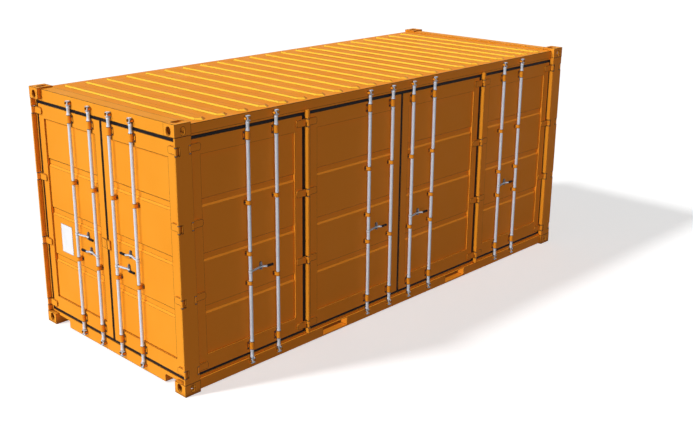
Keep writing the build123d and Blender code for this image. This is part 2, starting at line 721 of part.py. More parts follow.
def rod_profile():
    """Radii and heights of a lock rod between its bottom and top cams."""
    gap = BEARING_HEIGHT / 2 + COLLAR_GAP
    low = CAM_BOTTOM + CAM_HEIGHT
    high = CAM_TOP - CAM_HEIGHT
    return [
        (0, 0, low),
        (CAM_NECK + 1, 0, low),
        (BELL_RADIUS, 0, low + BELL_AT),
        (NECK_RADIUS, 0, low + BELL_LENGTH),
        (NECK_RADIUS, 0, BEARING_BOTTOM - gap - COLLAR_HEIGHT),
        (COLLAR_RADIUS, 0, BEARING_BOTTOM - gap),
        (ROD_RADIUS, 0, BEARING_BOTTOM - gap),
        (ROD_RADIUS, 0, BEARING_BOTTOM + gap),
        (COLLAR_RADIUS, 0, BEARING_BOTTOM + gap),
        (ROD_RADIUS, 0, BEARING_BOTTOM + gap + COLLAR_HEIGHT),
        (ROD_RADIUS, 0, BEARING_TOP - gap - COLLAR_HEIGHT),
        (COLLAR_RADIUS, 0, BEARING_TOP - gap),
        (ROD_RADIUS, 0, BEARING_TOP - gap),
        (ROD_RADIUS, 0, BEARING_TOP + gap),
        (COLLAR_RADIUS, 0, BEARING_TOP + gap),
        (NECK_RADIUS, 0, BEARING_TOP + gap + COLLAR_HEIGHT),
        (NECK_RADIUS, 0, high - BELL_LENGTH),
        (BELL_RADIUS, 0, high - BELL_AT),
        (CAM_NECK + 1, 0, high),
        (0, 0, high),
    ]


def cam(z0, z1):
    """A cam in three pieces: a lip at each end and the neck between them."""
    lip = block(-CAM_SHORT, CAM_REACH, -CAM_FRONT, CAM_BACK, 0, CAM_LIP)
    inner = lip.edges().filter_by(Axis.Z).sort_by(lambda e: e.center().Y - e.center().X)[-1]
    lip = fillet(inner, CAM_BACK) & round_bar(0, 0, 0, CAM_LIP, CAM_REACH)
    neck = round_bar(0, 0, z0 + CAM_LIP, z1 - CAM_LIP, CAM_NECK)
    return [Pos(0, 0, z0) * lip, neck, Pos(0, 0, z1 - CAM_LIP) * lip]


def handle(z):
    """The flat bar of a handle, from its hub to the grip, and the grip."""
    path = Spline(*HANDLE_LINE, tangents=[(1, 0), (1, 0)])
    start = Plane(origin=path @ 0, x_dir=(0, 0, 1), z_dir=path % 0)
    bar = sweep(start * Rectangle(HANDLE_TALL, HANDLE_THICK), path=path)
    bar = Pos(0, 0, z) * bar - round_bar(0, 0, z - HUB_HEIGHT / 2, z + HUB_HEIGHT / 2, HUB_RADIUS)
    bar_end = HANDLE_LINE[-1][0]
    grip = Pos(bar_end + GRIP_LENGTH / 2, 0, z) * Rot(0, 90, 0) * Cylinder(GRIP_RADIUS, GRIP_LENGTH)
    tip = grip.edges().filter_by(GeomType.CIRCLE).sort_by(Axis.X)[-1]
    return [bar, fillet(tip, GRIP_ROUND)]


def lock_rod(u, side, handle_z):
    """A rod with its cams, and with a handle where handle_z isn't None."""
    rod = revolve(make_face(Polyline(*rod_profile(), close=True)), Axis.Z)
    solids = cam(CAM_BOTTOM, CAM_BOTTOM + CAM_HEIGHT) + cam(CAM_TOP - CAM_HEIGHT, CAM_TOP)
    if handle_z is not None:
        rod += round_bar(0, 0, handle_z - HUB_HEIGHT / 2, handle_z + HUB_HEIGHT / 2, HUB_RADIUS)
        solids += handle(handle_z)
    solids.append(rod)
    if side < 0:
        solids = [mirror(solid, about=Plane.YZ) for solid in solids]
    return [Pos(u, ROD_DEPTH, 0) * solid for solid in solids]


def keeper(u, middle):
    """The two ears that a cam's neck turns between, open to the outside."""
    low = middle - KEEPER_HEIGHT / 2
    high = middle + KEEPER_HEIGHT / 2
    left = block(u - KEEPER_HALF - KEEPER_THICK, u - KEEPER_HALF, KEEPER_FRONT, DOOR_FACE, low, high)
    left = fillet(left.edges().filter_by(Axis.X).sort_by(Axis.Y)[:2], KEEPER_ROUND)
    return [left, Pos(2 * KEEPER_HALF + KEEPER_THICK, 0, 0) * left]


def keepers(rods):
    """The keepers of one face, on its header and on its sill."""
    ears = []
    for u in signed(rods):
        ears += keeper(u, CAM_TOP - CAM_HEIGHT / 2)
        ears += keeper(u, CAM_BOTTOM + CAM_HEIGHT / 2)
    return ears


def structure():
    """Everything that stands still, apart from the doors."""
    write("corner_castings_top", mirrored_corners(corner_casting(True)))
    write("corner_castings_bottom", mirrored_corners(corner_casting(False)))
    write("corner_posts", corner_posts())
    write("end_headers", [NEAR_END * end_header(), FAR_END * end_header()])
    write("end_sills", [NEAR_END * end_sill(), FAR_END * end_sill()])
    write("side_header", [side_header()])
    write("wall_top_rail", [wall_top_rail()])
    write("door_side_rail", [door_side_rail()])
    write("wall_side_rail", [wall_side_rail()])
    write("roof_panel", [roof_panel()])
    write("side_wall", [side_wall()])
    write("floor_boards", floor_boards())
    write("cross_members", cross_members())
    write("fork_pockets", [fork_pocket(-POCKET_X), fork_pocket(POCKET_X)])


def hasp_plates():
    """The cover over the end doors' middle, split so that each can open."""
    top = HASP_BOTTOM + HASP_TALL
    face = DOOR_FACE - HASP_THICK
    left = block(-HASP_LEFT, -HASP_BOX_LEFT, DOOR_FACE - HASP_THIN, DOOR_FACE, HASP_BOTTOM, top)
    left += block(-HASP_BOX_LEFT, -HASP_SPLIT, face, DOOR_FACE, HASP_BOTTOM, top)
    right = block(HASP_SPLIT, HASP_RIGHT, face, DOOR_FACE, HASP_BOTTOM, top)
    write("hasp_plate_left", [NEAR_END * left])
    write("hasp_plate_right", [NEAR_END * right])


def end_doors():
    """The two doors of the near end, which open."""
    for name, side in (("left", -1), ("right", 1)):
        u0, u1, left, right = end_leaf_edges(side)
        outer_rod = side * END_RODS[0]
        inner_rod = side * END_RODS[1]
        holders = rod_holders(outer_rod, False) + rod_holders(inner_rod, False)
        catches = [handle_catch(outer_rod, -side, HANDLE_HIGH), handle_catch(inner_rod, side, HANDLE_LOW)]
        write("end_door_" + name, [NEAR_END * door_leaf(u0, u1)])
        write("end_gasket_" + name, [NEAR_END * gasket(u0, u1, left, right)])
        write("end_hinge_blades_" + name, placed(NEAR_END, post_blades(side * END_PIN)))
        write("end_rod_holders_" + name, placed(NEAR_END, holders))
        write("end_catches_" + name, placed(NEAR_END, catches))
        write("end_rod_outer_" + name, placed(NEAR_END, lock_rod(outer_rod, -side, HANDLE_HIGH)))
        write("end_rod_inner_" + name, placed(NEAR_END, lock_rod(inner_rod, side, HANDLE_LOW)))
    plate_u = -(END_LEAF - PLATE_FROM_EDGE)
    plate = block(plate_u, plate_u + PLATE_WIDE, PANEL_FACE - PLATE_THICK, PANEL_FACE,
                  PLATE_BOTTOM, PLATE_BOTTOM + PLATE_TALL)
    write("blank_plate", [NEAR_END * plate])


def side_doors():
    """Four leaves in two folding pairs, and the bar inside each pair."""
    leaves = [
        (-SIDE_LEAF, -BAR_X - BAR_GAP, POST_RUBBER, BAR_RUBBER),
        (-BAR_X + BAR_GAP, -CENTRE_HALF, BAR_RUBBER, CENTRE_RUBBER),
        (CENTRE_HALF, BAR_X - BAR_GAP, CENTRE_RUBBER, BAR_RUBBER),
        (BAR_X + BAR_GAP, SIDE_LEAF, BAR_RUBBER, POST_RUBBER),
    ]
    gaskets = []
    for index, (u0, u1, left, right) in enumerate(leaves):
        write("side_door_%d" % (index + 1), [SIDE * door_leaf(u0, u1)])
        gaskets.append(SIDE * gasket(u0, u1, left, right))
    write("side_gaskets", gaskets)
    blades = post_blades(-SIDE_PIN) + post_blades(SIDE_PIN) + bar_blades(-BAR_X) + bar_blades(BAR_X)
    write("side_hinge_blades", placed(SIDE, blades))
    write("side_hinge_bars", placed(SIDE, [hinge_bar(-BAR_X), hinge_bar(BAR_X)]))
    with_handle = [-SIDE_RODS[0], -SIDE_RODS[2], SIDE_RODS[3], SIDE_RODS[1]]
    with_guide = [-SIDE_RODS[0], -SIDE_RODS[2], SIDE_RODS[2], SIDE_RODS[1], SIDE_RODS[0]]
    holders = []
    for index, u in enumerate(signed(SIDE_RODS)):
        holders += rod_holders(u, u in with_guide)
        handle_z = HANDLE_LOW if u in with_handle else None
        write("side_rod_%d" % (index + 1), placed(SIDE, lock_rod(u, 1, handle_z)))
    write("side_rod_holders", placed(SIDE, holders))
    write("side_catches", placed(SIDE, [handle_catch(u, 1, HANDLE_LOW) for u in with_handle]))


def far_doors():
    """The closed doors of the far end, the same as the near ones."""
    leaves = []
    gaskets = []
    rods = []
    holders = []
    catches = []
    for side in (-1, 1):
        u0, u1, left, right = end_leaf_edges(side)
        outer_rod = side * END_RODS[0]
        inner_rod = side * END_RODS[1]
        leaves.append(door_leaf(u0, u1))
        gaskets.append(gasket(u0, u1, left, right))
        holders += rod_holders(outer_rod, False) + rod_holders(inner_rod, False)
        rods += lock_rod(outer_rod, -side, HANDLE_HIGH) + lock_rod(inner_rod, side, HANDLE_LOW)
        catches.append(handle_catch(outer_rod, -side, HANDLE_HIGH))
        catches.append(handle_catch(inner_rod, side, HANDLE_LOW))
    write("far_doors", placed(FAR_END, leaves))
    write("far_gaskets", placed(FAR_END, gaskets))
    write("far_hinge_blades", placed(FAR_END, post_blades(-END_PIN) + post_blades(END_PIN)))
    write("far_rod_holders", placed(FAR_END, holders))
    write("far_catches", placed(FAR_END, catches))
    write("far_rods", placed(FAR_END, rods))


def shared_hardware():
    """Hinge pins and keepers of all three door faces."""
    pins = []
    for frame in (NEAR_END, FAR_END):
        pins += placed(frame, hinge_pins(-END_PIN) + hinge_pins(END_PIN))
    for pin in (-SIDE_PIN, -BAR_X, BAR_X, SIDE_PIN):
        pins += placed(SIDE, hinge_pins(pin))
    write("hinge_pins", pins)
    ears = placed(NEAR_END, keepers(END_RODS)) + placed(FAR_END, keepers(END_RODS))
    write("rod_keepers", ears + placed(SIDE, keepers(SIDE_RODS)))


os.makedirs("parts", exist_ok=True)
structure()
end_doors()
hasp_plates()
side_doors()
far_doors()
shared_hardware()
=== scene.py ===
import json
import math

import bmesh
import bpy
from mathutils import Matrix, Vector


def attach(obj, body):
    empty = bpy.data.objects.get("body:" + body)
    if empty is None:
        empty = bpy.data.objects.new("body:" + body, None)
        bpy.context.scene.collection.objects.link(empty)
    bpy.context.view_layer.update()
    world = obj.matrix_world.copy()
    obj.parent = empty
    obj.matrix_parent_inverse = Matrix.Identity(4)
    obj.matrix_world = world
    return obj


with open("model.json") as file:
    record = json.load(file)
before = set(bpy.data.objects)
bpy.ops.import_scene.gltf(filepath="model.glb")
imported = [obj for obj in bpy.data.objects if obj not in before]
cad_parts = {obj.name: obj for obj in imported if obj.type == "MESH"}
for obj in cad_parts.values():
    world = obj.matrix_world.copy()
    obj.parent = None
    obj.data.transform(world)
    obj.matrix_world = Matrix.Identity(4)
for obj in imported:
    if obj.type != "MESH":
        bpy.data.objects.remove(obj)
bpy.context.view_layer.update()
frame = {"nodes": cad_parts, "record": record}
NODES = frame["nodes"]

# The camera that took the photograph: lens and middle in the photograph's pixels,
# place in metres, angles in degrees
PHOTO_WIDTH = 693
PHOTO_HEIGHT = 427
FOCAL_PIXELS = 992.12
CENTRE_U = 316.51
CENTRE_V = 192.59
CAMERA_PLACE = (-7.9496, -7.9090, 4.5301)
CAMERA_AZIMUTH = -44.709
CAMERA_DROP = 17.174
SENSOR = 36.0
NEAR_CLIP = 0.1
FAR_CLIP = 500.0

# A key sun along the folding side, which casts no shadows, as in the photograph,
# and a weaker one that throws the floor's shadow. Each is an azimuth, a height,
# a power, a spread and whether it casts shadows, the angles in degrees
SUNS = [
    (187.0, 34.0, 2.0, 2.0, False),
    (157.0, 42.0, 1.55, 6.0, True),
]
SKY_LEVEL = 0.125

# The floor in metres, its colour to rays that light the container, and its
# colour and glow to the camera and in reflections
FLOOR_RADIUS = 120.0
FLOOR_SIDES = 96
FLOOR_DROP = 0.0005
FLOOR_BOUNCE = (0.275, 0.25, 0.23, 1.0)
FLOOR_SEEN = (1.0, 1.0, 1.0, 1.0)
FLOOR_GLOW = 0.25

# Dark lines on edges. Each reaches so many metres from its edge, less on the
# narrow ledges of the folding side. The pairs are cosines of the angle between
# a face and its rounded form: where the line is full and where it starts
EDGE_SAMPLES = 6
EDGE_REACH = 0.009
LEDGE_EDGE_REACH = 0.005
PAINT_EDGE = (0.955, 0.994)
ZINC_EDGE = (0.86, 0.95)
PLATE_EDGE = (0.92, 0.99)

# Painted shade in crevices. Surfaces so many metres apart darken each other, more on the
# castings, for their holes, and less on the ledges. The pairs are open shares
# of the view: where the painted shade is full and where it starts
CREASE_REACH = 0.022
LEDGE_CREASE_REACH = 0.01
CASTING_CREASE_REACH = 0.09
ZINC_CREASE_REACH = 0.03
PAINT_CREASE = (0.3, 0.8)
ZINC_CREASE = (0.15, 0.5)
PAINT_CREASE_SAMPLES = 12
ZINC_CREASE_SAMPLES = 8

# Textures. A noise is its waves a metre and its detail; a spread is the part of
# it that is stretched; a relief is a strength and a depth in metres
PAINT_DRIFT = (0.9, 3.0)
PAINT_DRIFT_SPREAD = (0.35, 0.65)
PAINT_PEEL = (260.0, 2.0)
PAINT_PEEL_RELIEF = (0.12, 0.0006)
SPANGLE_SCALE = 70.0
SPANGLE_SPREAD = (0.2, 0.8)
ZINC_GRAIN = (300.0, 2.0)
ZINC_GRAIN_RELIEF = (0.06, 0.0004)
RUBBER_WEAR = (8.0, 4.0)
RUBBER_WEAR_SPREAD = (0.4, 0.7)
RUBBER_GRAIN = (400.0, 3.0)
RUBBER_GRAIN_RELIEF = (0.25, 0.0006)
WOOD_GRAIN = (14.0, 6.0)
WOOD_GRAIN_STRETCH = (0.25, 3.0, 1.0)
WOOD_GRAIN_ROUGHNESS = 0.65
WOOD_STREAK_SPREAD = (0.38, 0.62)
WOOD_RELIEF = (0.2, 0.0012)
PLATE_SMEAR = (9.0, 5.0)
PLATE_SMEAR_SPREAD = (0.45, 0.75)
PLATE_GRAIN = (120.0, 2.0)
PLATE_GRAIN_RELIEF = (0.05, 0.0004)

# Sheen: the shader's roughness, for paint and zinc from a noise between two
# values, its specular level, and how metallic zinc, pins and bolts are
SHEEN_SPREAD = (0.3, 0.7)
PAINT_SHEEN = (3.5, 5.0)
PAINT_ROUGHNESS = (0.55, 0.66)
PAINT_SPECULAR = 0.12
ZINC_SHEEN = (25.0, 4.0)
ZINC_ROUGHNESS = (0.42, 0.54)
ZINC_SPECULAR = 0.2
ZINC_METAL = 0.03
PIN_METAL = 0.6
BOLT_METAL = 0.5
RUBBER_ROUGHNESS = 0.7
RUBBER_SPECULAR = 0.15
WOOD_ROUGHNESS = 0.5
PLATE_ROUGHNESS = 0.3

# Parts of a face's normal where paint turns into painted shade or painted highlight: across
# the container into the painted shade of the long sides, and along it into the painted highlight of
# slopes to the near end
SIDE_SHADE_TURN = (0.6, 0.95)
FRONT_HIGHLIGHT_TURN = (-0.15, -0.4)

# A colour Mix node's sockets
MIX_SHARE, MIX_FIRST, MIX_SECOND = 0, 6, 7
MIX_RESULT = 2


def linear(red, green, blue):
    """An sRGB colour written as 0 to 255 values, as linear light with full alpha."""
    out = []
    for value in (red, green, blue):
        share = value / 255
        out.append(share / 12.92 if share <= 0.04045 else ((share + 0.055) / 1.055) ** 2.4)
    return (*out, 1.0)


class Nodes:
    """A material's node tree, with a short call to add a linked node."""

    def __init__(self, name):
        self.material = bpy.data.materials.new(name)
        self.material.use_nodes = True
        self.tree = self.material.node_tree
        self.tree.nodes.clear()
        self.output = self.tree.nodes.new("ShaderNodeOutputMaterial")
        self.shader = self.add("ShaderNodeBsdfPrincipled")
        self.link(self.shader.outputs[0], self.output.inputs["Surface"])

    def add(self, kind, settings=None, **inputs):
        """A node whose inputs are values or other nodes' outputs, by socket name."""
        made = self.tree.nodes.new(kind)
        for key, value in (settings or {}).items():
            setattr(made, key, value)
        for key, value in inputs.items():
            socket = made.inputs[key.replace("_", " ")]
            if isinstance(value, bpy.types.NodeSocket):
                self.link(value, socket)
            else:
                socket.default_value = value
        return made

    def link(self, source, target):
        self.tree.links.new(source, target)

    def place(self):
        """The object's own coordinates, in metres."""
        return self.add("ShaderNodeTexCoord").outputs["Object"]

    def noise(self, scale, detail, stretch=(1, 1, 1), rough=0.5):
        """Noise from 0 to 1 with so many waves a metre."""
        mapped = self.add("ShaderNodeMapping", Vector=self.place(), Scale=stretch)
        made = self.add("ShaderNodeTexNoise", Vector=mapped.outputs[0], Scale=scale, Detail=detail,
                        Roughness=rough)
        return made.outputs["Fac"]

    def ramp(self, value, low, high, to_low=0.0, to_high=1.0):
        """The value stretched from one range to another and held at its ends."""
        made = self.add("ShaderNodeMapRange", Value=value)
        made.inputs["From Min"].default_value = low
        made.inputs["From Max"].default_value = high
        made.inputs["To Min"].default_value = to_low
        made.inputs["To Max"].default_value = to_high
        return made.outputs[0]

    def blend(self, share, first, second):
        """One colour turning into another as share goes from 0 to 1."""
        made = self.add("ShaderNodeMix", {"data_type": "RGBA"})
        for index, value in ((MIX_SHARE, share), (MIX_FIRST, first), (MIX_SECOND, second)):
            if isinstance(value, bpy.types.NodeSocket):
                self.link(value, made.inputs[index])
            else:
                made.inputs[index].default_value = value
        return made.outputs[MIX_RESULT]

    def bump(self, height, strength, distance):
        """The shader's normal, raised by a height in parts of a distance in metres."""
        made = self.add("ShaderNodeBump", Height=height, Strength=strength, Distance=distance)
        self.link(made.outputs[0], self.shader.inputs["Normal"])

    def sheen(self, noise, roughness):
        """The shader's roughness, going between two values with a noise."""
        return self.ramp(self.noise(*noise), *SHEEN_SPREAD, *roughness)

    def crease_shade(self, colour, dark, reach, shares, samples):
        """Painted shade: the colour turning dark where other surfaces are near."""
        near = self.add("ShaderNodeAmbientOcclusion", {"samples": samples, "only_local": False},
                        Distance=reach)
        return self.blend(self.ramp(near.outputs["AO"], *shares, 1.0, 0.0), colour, dark)

    def edges(self, colour, dark, cosines, reach):
        """The colour with a thin dark line along each edge between two faces."""
        rounded = self.add("ShaderNodeBevel", {"samples": EDGE_SAMPLES}, Radius=reach)
        turn = self.add("ShaderNodeVectorMath", {"operation": "DOT_PRODUCT"})
        self.link(rounded.outputs[0], turn.inputs[0])
        self.link(self.add("ShaderNodeNewGeometry").outputs["Normal"], turn.inputs[1])
        return self.blend(self.ramp(turn.outputs["Value"], *cosines, 1.0, 0.0), colour, dark)

    def set(self, **inputs):
        """Values or links on the principled shader's sockets."""
        for key, value in inputs.items():
            socket = self.shader.inputs[key.replace("_", " ")]
            if isinstance(value, bpy.types.NodeSocket):
                self.link(value, socket)
            else:
                socket.default_value = value


def paint(name, tones, crease, front_highlight=None, reach=CREASE_REACH, line=EDGE_REACH):
    """Enamel on steel, with orange peel, painted shade in crevices and thin dark edges.

    The tones are its two drifting colours and a painted shade for faces towards the
    long sides. Slopes towards the near end take a painted highlight, if one is given.
    """
    base, shade, side = tones
    made = Nodes(name)
    drift = made.ramp(made.noise(*PAINT_DRIFT), *PAINT_DRIFT_SPREAD)
    # Painted shade: faces towards the long sides turn to the darker, redder side tone
    normal = made.add("ShaderNodeTexCoord").outputs["Normal"]
    facing = made.add("ShaderNodeSeparateXYZ", Vector=normal)
    across = made.add("ShaderNodeMath", {"operation": "ABSOLUTE"})
    made.link(facing.outputs["Y"], across.inputs[0])
    side_shade = made.ramp(across.outputs[0], *SIDE_SHADE_TURN)
    colour = made.blend(side_shade, made.blend(drift, base, shade), side)
    # Painted highlight: slopes towards the near end turn lighter yellow
    if front_highlight:
        colour = made.blend(made.ramp(facing.outputs["X"], *FRONT_HIGHLIGHT_TURN), colour, front_highlight)
    # Painted shade where other surfaces are near
    colour = made.crease_shade(colour, crease, reach, PAINT_CREASE, PAINT_CREASE_SAMPLES)
    colour = made.edges(colour, EDGE_DIRT, PAINT_EDGE, line)
    made.set(Base_Color=colour, Roughness=made.sheen(PAINT_SHEEN, PAINT_ROUGHNESS),
             Specular_IOR_Level=PAINT_SPECULAR)
    made.bump(made.noise(*PAINT_PEEL), *PAINT_PEEL_RELIEF)
    return made.material


def galvanised(name, base, dull, metal):
    """Zinc on steel: faint spangle, a dull sheen, painted shade in crevices, and dark edges."""
    made = Nodes(name)
    spangle = made.add("ShaderNodeTexVoronoi", Vector=made.place(), Scale=SPANGLE_SCALE)
    tone = made.ramp(spangle.outputs["Distance"], *SPANGLE_SPREAD)
    colour = made.blend(tone, base, dull)
    # Painted shade where other surfaces are near
    colour = made.crease_shade(colour, METAL_CREASE_SHADE, ZINC_CREASE_REACH, ZINC_CREASE, ZINC_CREASE_SAMPLES)
    colour = made.edges(colour, METAL_DIRT, ZINC_EDGE, EDGE_REACH)
    made.set(Base_Color=colour, Metallic=metal, Specular_IOR_Level=ZINC_SPECULAR,
             Roughness=made.sheen(ZINC_SHEEN, ZINC_ROUGHNESS))
    made.bump(made.noise(*ZINC_GRAIN), *ZINC_GRAIN_RELIEF)
    return made.material


def rubber(name, base, worn):
    """Black rubber with a fine grain."""
    made = Nodes(name)
    wear = made.ramp(made.noise(*RUBBER_WEAR), *RUBBER_WEAR_SPREAD)
    made.set(Base_Color=made.blend(wear, base, worn), Roughness=RUBBER_ROUGHNESS,
             Specular_IOR_Level=RUBBER_SPECULAR)
    made.bump(made.noise(*RUBBER_GRAIN), *RUBBER_GRAIN_RELIEF)
    return made.material


def plywood(name, base, dark):
    """Sealed plywood: long grain along the container, darker streaks."""
    made = Nodes(name)
    grain = made.noise(*WOOD_GRAIN, WOOD_GRAIN_STRETCH, WOOD_GRAIN_ROUGHNESS)
    streak = made.ramp(grain, *WOOD_STREAK_SPREAD)
    made.set(Base_Color=made.blend(streak, base, dark), Roughness=WOOD_ROUGHNESS)
    made.bump(grain, *WOOD_RELIEF)
    return made.material


def plate_enamel(name, base, grey):
    """A smooth pale sheet with faint smears and a dark edge."""
    made = Nodes(name)
    smear = made.ramp(made.noise(*PLATE_SMEAR), *PLATE_SMEAR_SPREAD)
    colour = made.blend(smear, base, grey)
    colour = made.edges(colour, METAL_DIRT, PLATE_EDGE, EDGE_REACH)
    made.set(Base_Color=colour, Roughness=PLATE_ROUGHNESS)
    made.bump(made.noise(*PLATE_GRAIN), *PLATE_GRAIN_RELIEF)
    return made.material


# Paint in threes: two drifting colours and a painted shade for faces towards the long sides
# Only the orange's painted shade differs, darker and redder; roof and underframe keep one tone
ORANGE = (linear(250, 163, 44), linear(246, 156, 38), linear(250, 149, 42))
ROOF = (linear(248, 154, 32), linear(244, 147, 28), linear(248, 154, 32))
UNDER = (linear(150, 84, 26), linear(126, 70, 22), linear(150, 84, 26))
# Painted highlight, lighter yellow, on roof slopes towards the near end
ROOF_FRONT_HIGHLIGHT = linear(254, 196, 60)
# Painted shade in crevices, on the paint and the underframe
CREASE_SHADE = linear(92, 46, 8)
UNDER_CREASE_SHADE = linear(70, 40, 14)
EDGE_DIRT = linear(44, 20, 5)
METAL_DIRT = linear(38, 40, 46)
# Painted shade in crevices, on zinc, pins and bolts
METAL_CREASE_SHADE = linear(84, 80, 78)
ZINC = linear(230, 239, 250)
ZINC_DULL = linear(218, 228, 242)
PIN_GREY = linear(150, 152, 158)
PIN_DULL = linear(118, 120, 126)
BLACK = linear(8, 9, 14)
BLACK_WORN = linear(15, 16, 21)
WHITE = linear(246, 247, 250)
WHITE_GREY = linear(232, 234, 238)
WOOD = linear(150, 104, 66)
WOOD_DARK = linear(112, 74, 44)
GRIP_BLACK = linear(14, 14, 16)
GRIP_GREY = linear(26, 26, 29)
BOLT_GREY = linear(92, 90, 90)
BOLT_DULL = linear(64, 62, 62)

# The record's slots, then the finishes that some nodes and the added pieces take
MATERIALS = {
    "body_paint": paint("body_paint", ORANGE, CREASE_SHADE),
    "roof_paint": paint("roof_paint", ROOF, CREASE_SHADE, ROOF_FRONT_HIGHLIGHT),
    "underframe_paint": paint("underframe_paint", UNDER, UNDER_CREASE_SHADE),
    "galvanised_rod": galvanised("galvanised_rod", ZINC, ZINC_DULL, ZINC_METAL),
    "hinge_steel": galvanised("hinge_steel", PIN_GREY, PIN_DULL, PIN_METAL),
    "gasket_rubber": rubber("gasket_rubber", BLACK, BLACK_WORN),
    "floor_plywood": plywood("floor_plywood", WOOD, WOOD_DARK),
    "bare_plate": plate_enamel("bare_plate", WHITE, WHITE_GREY),
}
# Paint whose painted shade reaches further, darkening the castings' holes, and paint with less
# painted shade and thinner lines for the folding side's ledges
CASTING_PAINT = paint("casting_paint", ORANGE, CREASE_SHADE, reach=CASTING_CREASE_REACH)
LEDGE_PAINT = paint("ledge_paint", ORANGE, CREASE_SHADE, reach=LEDGE_CREASE_REACH, line=LEDGE_EDGE_REACH)
GRIP_RUBBER = rubber("grip_black", GRIP_BLACK, GRIP_GREY)
BOLT_STEEL = galvanised("bolt_dark", BOLT_GREY, BOLT_DULL, BOLT_METAL)

# From here to the end of the bolts, sizes are in millimetres. On each face u runs
# to the right seen from outside, and depth goes inward from the castings' plane
METRE = 1000
HALF_LENGTH = 3029
HALF_WIDTH = 1219

# Rods: an end rod is its u, its body, the way that its handle points and the
# handle's height; a side rod is its u and the way that its handle points, or 0
ROD_DEPTH = 23
HANDLE_LOW = 1015.0
HANDLE_HIGH = 1166.1
END_RODS = [
    (-526, "end_rod_outer_left", 1, HANDLE_HIGH),
    (-169, "end_rod_inner_left", -1, HANDLE_LOW),
    (526, "end_rod_outer_right", -1, HANDLE_HIGH),
    (169, "end_rod_inner_right", 1, HANDLE_LOW),
]
SIDE_RODS = [(-2189.5, 1), (-1835.5, 0), (-526, 1), (-169, 0),
             (169, 1), (526, 0), (1835.5, 1), (2189.5, 0)]

# Grips: from where to where along the handle, the plain length at each end of
# the ribbed stretch, each groove's share of its rib's pitch, and the rounded
# end as distances back from the tip and what the radius loses there
GRIP_START = 214
GRIP_END = 292.2
GRIP_RADIUS = 13.1
GRIP_LIP = 2
GRIP_LIP_LENGTH = 1.5
GRIP_LEAD = 8
GRIP_TAIL = 18
GRIP_RIBS = 7
GROOVE_DEPTH = 0.8
GROOVE_SHARE = 0.45
GROOVE_SLOPE = 1
GRIP_NOSE = [(9, 0), (5.5, 0.7), (3, 2), (1.2, 4), (0, 7)]
GRIP_SIDES = 20

# Bolts: how far from the rod and from the holder's middle they sit, the depth of
# the foot's face, and two profiles of distances outward and radii
BEARING_HEIGHTS = (244, 2354)
BEARING_BOLT_U = 33
BEARING_BOLT_Z = 28
BEARING_FRONT = 39
GUIDE_HEIGHTS = (1706.1, 897.0)
GUIDE_THIRD = 1198.1
GUIDE_THIRD_RODS = (-2189.5, -526, 526, 1835.5, 2189.5)
GUIDE_BOLT_U = 28.5
GUIDE_FRONT = 54
WASHER = [(-0.5, 8.5), (1.4, 8.5), (1.7, 8.0)]
WASHER_SIDES = 16
BOLT_HEAD = [(1.2, 6.5), (6.0, 6.5), (7.0, 5.3)]
BOLT_SIDES = 6


def on_near(u, depth, z):
    """A point on the near end, in metres."""
    return Vector((depth - HALF_LENGTH, -u, z)) / METRE


def on_side(u, depth, z):
    """A point on the folding side, in metres."""
    return Vector((u, depth - HALF_WIDTH, z)) / METRE


def on_far(u, depth, z):
    """A point on the far end, in metres."""
    return Vector((HALF_LENGTH - depth, u, z)) / METRE


def lathe(shape, start, along, profile, sides):
    """A closed turned form: the profile's rows are a distance from the start and a radius."""
    along = along.normalized()
    first = along.orthogonal().normalized()
    second = along.cross(first)
    rings = []
    for distance, radius in profile:
        middle = start + along * distance / METRE
        ring = []
        for step in range(sides):
            angle = math.tau * step / sides
            spoke = first * math.cos(angle) + second * math.sin(angle)
            ring.append(shape.verts.new(middle + spoke * radius / METRE))
        rings.append(ring)
    for low_ring, high_ring in zip(rings, rings[1:]):
        for step in range(sides):
            after = (step + 1) % sides
            shape.faces.new((low_ring[step], low_ring[after], high_ring[after], high_ring[step]))
    shape.faces.new(rings[0][::-1])
    shape.faces.new(rings[-1])


def make_piece(name, body, material, shape):
    """An object from a bmesh, with its body and its material."""
    bmesh.ops.recalc_face_normals(shape, faces=shape.faces)
    mesh = bpy.data.meshes.new(name)
    shape.to_mesh(mesh)
    shape.free()
    mesh.materials.append(material)
    piece = bpy.data.objects.new(name, mesh)
    bpy.context.scene.collection.objects.link(piece)
    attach(piece, body)


def grip(name, body, face, u, side, z):
    """The black ribbed sleeve on a handle, with a round end."""
    start = face(u + side * GRIP_START, ROD_DEPTH, z)
    along = face(u + side * (GRIP_START + 1), ROD_DEPTH, z) - start
    length = GRIP_END - GRIP_START
    profile = [(0, GRIP_RADIUS - GRIP_LIP), (GRIP_LIP_LENGTH, GRIP_RADIUS)]
    pitch = (length - GRIP_LEAD - GRIP_TAIL) / GRIP_RIBS
    for index in range(GRIP_RIBS):
        low = GRIP_LEAD + index * pitch
        high = low + pitch * GROOVE_SHARE
        profile += [(low, GRIP_RADIUS), (low + GROOVE_SLOPE, GRIP_RADIUS - GROOVE_DEPTH),
                    (high, GRIP_RADIUS - GROOVE_DEPTH), (high + GROOVE_SLOPE, GRIP_RADIUS)]
    profile += [(length - back, GRIP_RADIUS - less) for back, less in GRIP_NOSE]
    shape = bmesh.new()
    lathe(shape, start, along, profile, GRIP_SIDES)
    make_piece(name, body, GRIP_RUBBER, shape)


def bolt(shape, face, u, depth, z):
    """A washer and a six-sided head with a chamfer, outward from a depth."""
    start = face(u, depth, z)
    along = face(u, depth - 1, z) - start
    lathe(shape, start, along, WASHER, WASHER_SIDES)
    lathe(shape, start, along, BOLT_HEAD, BOLT_SIDES)


